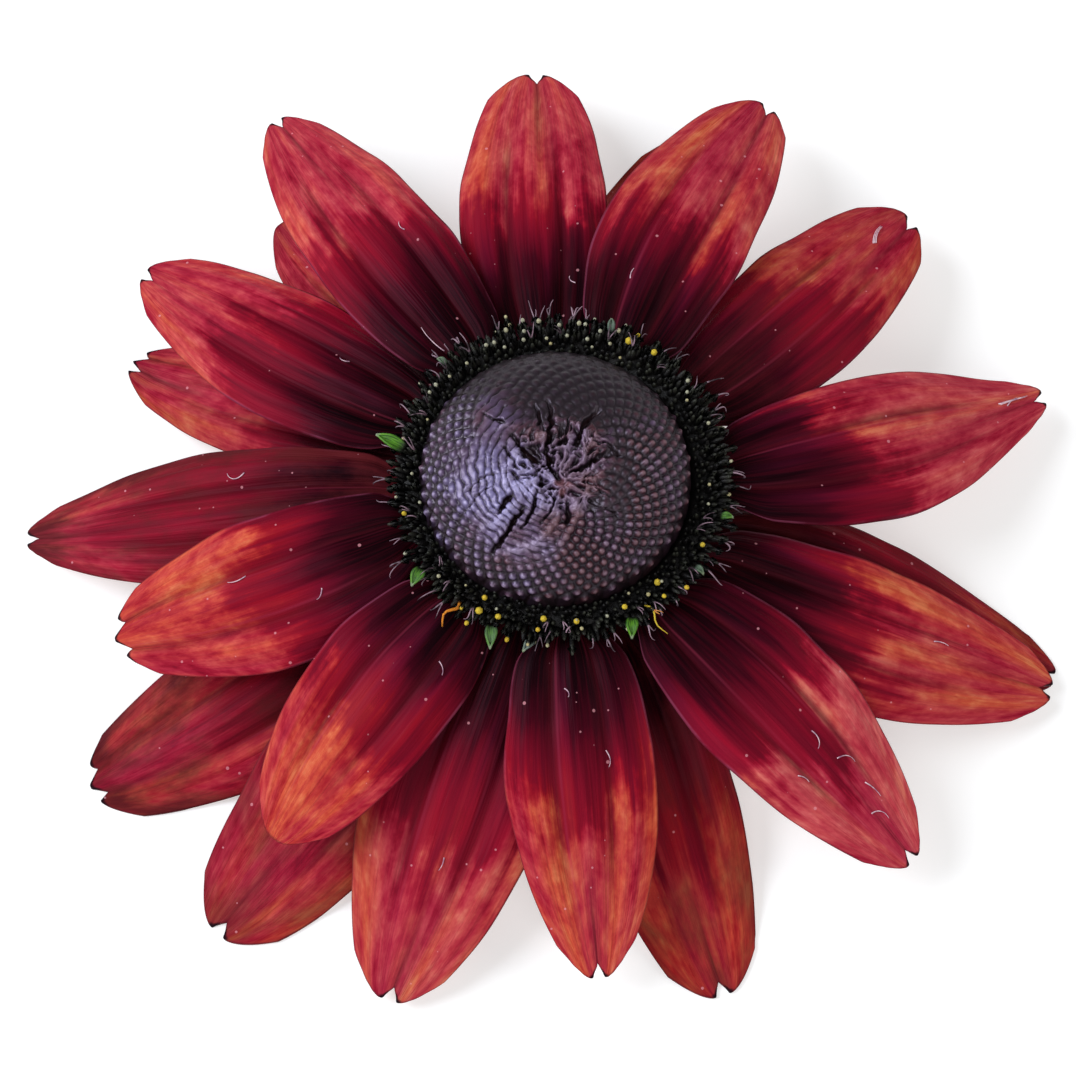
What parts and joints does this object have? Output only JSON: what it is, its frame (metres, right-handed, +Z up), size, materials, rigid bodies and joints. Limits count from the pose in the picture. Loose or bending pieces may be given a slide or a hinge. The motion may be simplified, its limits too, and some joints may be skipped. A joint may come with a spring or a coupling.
{
  "type": "black-eyed susan bloom",
  "caption": "Cut black-eyed susan bloom lying face up: a dark domed disc of florets ringed by overlapping crimson petals with orange tips, on a short stem stub.",
  "frame": {"origin": "middle of the footprint, on the surface that the bloom lies on", "axes": "+Z up out of the bloom's disc, along its stem; +X and +Y across the petals, -Y towards the viewer of its front"},
  "size_m": [0.0818, 0.0776, 0.0181],
  "materials": {
    "petal": "satin crimson, near black at the claw and coral orange towards the tip",
    "disc": "waxy dark purple brown",
    "floret": "matte black with yellow and pale tips",
    "leaf": "hairy matte green"
  },
  "bodies": {
    "root": {"stem": "leaf", "involucre": "leaf", "disc": "disc", "disc_florets": "floret", "petal_01": "petal", "petal_02": "petal", "petal_03": "petal", "petal_04": "petal", "petal_05": "petal", "petal_06": "petal", "petal_07": "petal", "petal_08": "petal", "petal_09": "petal", "petal_10": "petal", "petal_11": "petal", "petal_12": "petal", "petal_13": "petal", "petal_14": "petal", "petal_15": "petal", "petal_16": "petal", "petal_17": "petal", "petal_18": "petal", "petal_19": "petal", "petal_20": "petal"}
  },
  "joints": []
}
